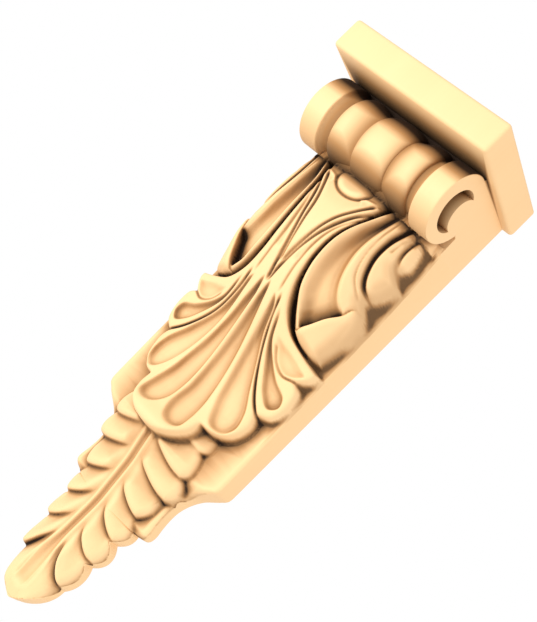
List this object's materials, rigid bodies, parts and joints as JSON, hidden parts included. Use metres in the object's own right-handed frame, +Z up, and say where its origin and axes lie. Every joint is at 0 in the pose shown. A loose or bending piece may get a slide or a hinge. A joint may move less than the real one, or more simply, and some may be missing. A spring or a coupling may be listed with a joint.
{
  "type": "wooden corbel bracket",
  "caption": "Tall carved wooden corbel: square cap on a scroll roll, with an acanthus leaf hanging down a flat back board to a tapering leaf tip.",
  "frame": {"origin": "on the flat back that lies on the wall, on the middle line, 150 mm below the top of the cap", "axes": "+Z up, the back lies in the plane y = 0, the carved front faces -Y, X across"},
  "size_m": [0.15, 0.119, 0.4695],
  "materials": {
    "wood": "carved pale hardwood with a satin clear finish"
  },
  "bodies": {
    "root": {"corbel": "wood"}
  },
  "joints": []
}
